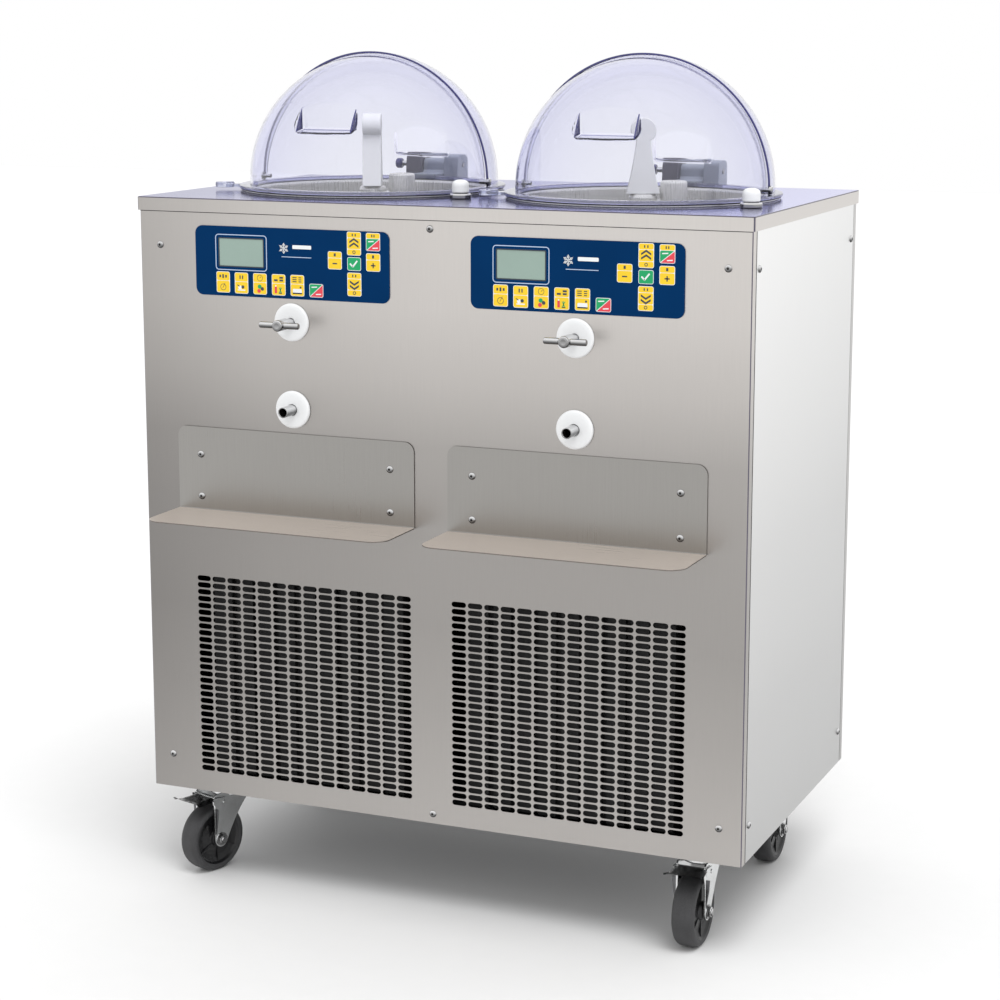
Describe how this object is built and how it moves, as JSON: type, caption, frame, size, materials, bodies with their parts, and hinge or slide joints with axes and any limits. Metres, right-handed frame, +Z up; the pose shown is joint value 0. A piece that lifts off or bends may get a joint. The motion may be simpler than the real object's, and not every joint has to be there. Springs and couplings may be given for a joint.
{
  "type": "soft serve machine",
  "caption": "Free-standing stainless soft serve machine with clear roll-top vat lids, dispensing spouts over cup shelves, grilles and braked castors.",
  "frame": {"origin": "centre of the machine's outline, on the floor under it", "axes": "+Z up, +X to the right of a person facing the front, +Y from the front to the rear"},
  "size_m": [0.906, 0.6356, 1.197],
  "materials": {
    "stainless": "brushed, warm grey",
    "polished_cover": "polished to a mirror",
    "vat_steel": "satin, food grade",
    "zinc": "bright zinc plate",
    "white_plastic": "smooth, slightly glossy",
    "black_plastic": "fine moulded grain",
    "grey_plastic": "moulded, satin",
    "wheel_rubber": "dark grey tread",
    "clear_dome": "clear acrylic with a violet tint",
    "overlay": "navy printed film",
    "screen": "grey-green liquid crystal",
    "motor_paint": "black enamel",
    "fin_aluminium": "fine fins",
    "box_paint": "light grey powder coat"
  },
  "bodies": {
    "cabinet": {"base_pan": "zinc", "front_panel": "stainless", "left_side_panel": "stainless", "right_side_panel": "stainless", "rear_panel": "stainless", "top_cover": "polished_cover", "control_box": "box_paint", "power_inlet": "black_plastic", "left_vat": "vat_steel", "left_gearmotor": "motor_paint", "left_compressor": "motor_paint", "left_condenser": "fin_aluminium", "left_hinge_block": "grey_plastic", "left_control_panel": "overlay", "left_display": "screen", "left_shelf": "stainless", "left_tap_disc": "white_plastic", "left_spout_disc": "white_plastic", "left_spout": "stainless", "right_vat": "vat_steel", "right_gearmotor": "motor_paint", "right_compressor": "motor_paint", "right_condenser": "fin_aluminium", "right_hinge_block": "grey_plastic", "right_control_panel": "overlay", "right_display": "screen", "right_shelf": "stainless", "right_tap_disc": "white_plastic", "right_spout_disc": "white_plastic", "right_spout": "stainless", "front_left_castor_plate": "zinc", "front_right_castor_plate": "zinc", "rear_left_castor_plate": "zinc", "rear_right_castor_plate": "zinc"},
    "left_rear_shell": {"left_lid_rear": "clear_dome"},
    "left_front_shell": {"left_lid_front": "clear_dome"},
    "left_knob": {"left_clamp_knob": "white_plastic"},
    "left_tap": {"left_tap_handle": "zinc"},
    "left_mixer": {"left_agitator": "vat_steel", "left_agitator_grip": "white_plastic"},
    "left_condenser_fan": {"left_fan": "black_plastic"},
    "right_rear_shell": {"right_lid_rear": "clear_dome"},
    "right_front_shell": {"right_lid_front": "clear_dome"},
    "right_knob": {"right_clamp_knob": "white_plastic"},
    "right_tap": {"right_tap_handle": "zinc"},
    "right_mixer": {"right_agitator": "vat_steel", "right_agitator_grip": "white_plastic"},
    "right_condenser_fan": {"right_fan": "black_plastic"},
    "front_left_swivel": {"front_left_castor_fork": "zinc"},
    "front_left_wheel_body": {"front_left_wheel": "wheel_rubber"},
    "front_left_brake": {"front_left_brake_pedal": "zinc"},
    "front_right_swivel": {"front_right_castor_fork": "zinc"},
    "front_right_wheel_body": {"front_right_wheel": "wheel_rubber"},
    "front_right_brake": {"front_right_brake_pedal": "zinc"},
    "rear_left_swivel": {"rear_left_castor_fork": "zinc"},
    "rear_left_wheel_body": {"rear_left_wheel": "wheel_rubber"},
    "rear_right_swivel": {"rear_right_castor_fork": "zinc"},
    "rear_right_wheel_body": {"rear_right_wheel": "wheel_rubber"}
  },
  "joints": [
    {"name": "left_lid_hinge", "type": "hinge", "parent": "cabinet", "child": "left_rear_shell", "pos_m": [-0.21, 0.2745, 1.022], "axis": [-1, 0, 0], "range_deg": [0, 80]},
    {"name": "left_front_shell_pivot", "type": "hinge", "parent": "left_rear_shell", "child": "left_front_shell", "pos_m": [-0.21, 0.0425, 1.013], "axis": [-1, 0, 0], "range_deg": [0, 60]},
    {"name": "left_knob_turn", "type": "hinge", "parent": "cabinet", "child": "left_knob", "pos_m": [-0.01495, -0.07938, 1.005], "axis": [0, 0, 1], "range_deg": [-90, 90]},
    {"name": "left_tap_turn", "type": "hinge", "parent": "cabinet", "child": "left_tap", "pos_m": [-0.21, -0.2275, 0.831], "axis": [0, 1, 0], "range_deg": [0, 90]},
    {"name": "left_mixer_spin", "type": "hinge", "parent": "cabinet", "child": "left_mixer", "pos_m": [-0.21, 0.0425, 0.85], "axis": [0, 0, 1], "continuous": true},
    {"name": "left_fan_spin", "type": "hinge", "parent": "cabinet", "child": "left_condenser_fan", "pos_m": [-0.2, -0.1222, 0.31], "axis": [0, 1, 0], "continuous": true},
    {"name": "right_lid_hinge", "type": "hinge", "parent": "cabinet", "child": "right_rear_shell", "pos_m": [0.21, 0.2745, 1.022], "axis": [-1, 0, 0], "range_deg": [0, 80]},
    {"name": "right_front_shell_pivot", "type": "hinge", "parent": "right_rear_shell", "child": "right_front_shell", "pos_m": [0.21, 0.0425, 1.013], "axis": [-1, 0, 0], "range_deg": [0, 60]},
    {"name": "right_knob_turn", "type": "hinge", "parent": "cabinet", "child": "right_knob", "pos_m": [0.40505, -0.07938, 1.005], "axis": [0, 0, 1], "range_deg": [-90, 90]},
    {"name": "right_tap_turn", "type": "hinge", "parent": "cabinet", "child": "right_tap", "pos_m": [0.21, -0.2275, 0.831], "axis": [0, 1, 0], "range_deg": [0, 90]},
    {"name": "right_mixer_spin", "type": "hinge", "parent": "cabinet", "child": "right_mixer", "pos_m": [0.21, 0.0425, 0.85], "axis": [0, 0, 1], "continuous": true},
    {"name": "right_fan_spin", "type": "hinge", "parent": "cabinet", "child": "right_condenser_fan", "pos_m": [0.2, -0.1222, 0.31], "axis": [0, 1, 0], "continuous": true},
    {"name": "front_left_castor_swivel", "type": "hinge", "parent": "cabinet", "child": "front_left_swivel", "pos_m": [-0.37, -0.1375, 0.118], "axis": [0, 0, 1], "continuous": true},
    {"name": "front_left_wheel_roll", "type": "hinge", "parent": "front_left_swivel", "child": "front_left_wheel_body", "pos_m": [-0.38139, -0.17059, 0.04938], "axis": [0.9455, -0.3256, 0], "continuous": true},
    {"name": "front_left_brake_press", "type": "hinge", "parent": "front_left_swivel", "child": "front_left_brake", "pos_m": [-0.37977, -0.16587, 0.106], "axis": [0.9455, -0.3256, 0], "range_deg": [0, 7]},
    {"name": "front_right_castor_swivel", "type": "hinge", "parent": "cabinet", "child": "front_right_swivel", "pos_m": [0.37, -0.1375, 0.118], "axis": [0, 0, 1], "continuous": true},
    {"name": "front_right_wheel_roll", "type": "hinge", "parent": "front_right_swivel", "child": "front_right_wheel_body", "pos_m": [0.37, -0.1725, 0.04938], "axis": [1, 0, 0], "continuous": true},
    {"name": "front_right_brake_press", "type": "hinge", "parent": "front_right_swivel", "child": "front_right_brake", "pos_m": [0.37, -0.1675, 0.106], "axis": [1, 0, 0], "range_deg": [0, 7]},
    {"name": "rear_left_castor_swivel", "type": "hinge", "parent": "cabinet", "child": "rear_left_swivel", "pos_m": [-0.37, 0.2225, 0.118], "axis": [0, 0, 1], "continuous": true},
    {"name": "rear_left_wheel_roll", "type": "hinge", "parent": "rear_left_swivel", "child": "rear_left_wheel_body", "pos_m": [-0.37, 0.1875, 0.04938], "axis": [1, 0, 0], "continuous": true},
    {"name": "rear_right_castor_swivel", "type": "hinge", "parent": "cabinet", "child": "rear_right_swivel", "pos_m": [0.37, 0.2225, 0.118], "axis": [0, 0, 1], "continuous": true},
    {"name": "rear_right_wheel_roll", "type": "hinge", "parent": "rear_right_swivel", "child": "rear_right_wheel_body", "pos_m": [0.37, 0.1875, 0.04938], "axis": [1, 0, 0], "continuous": true}
  ]
}
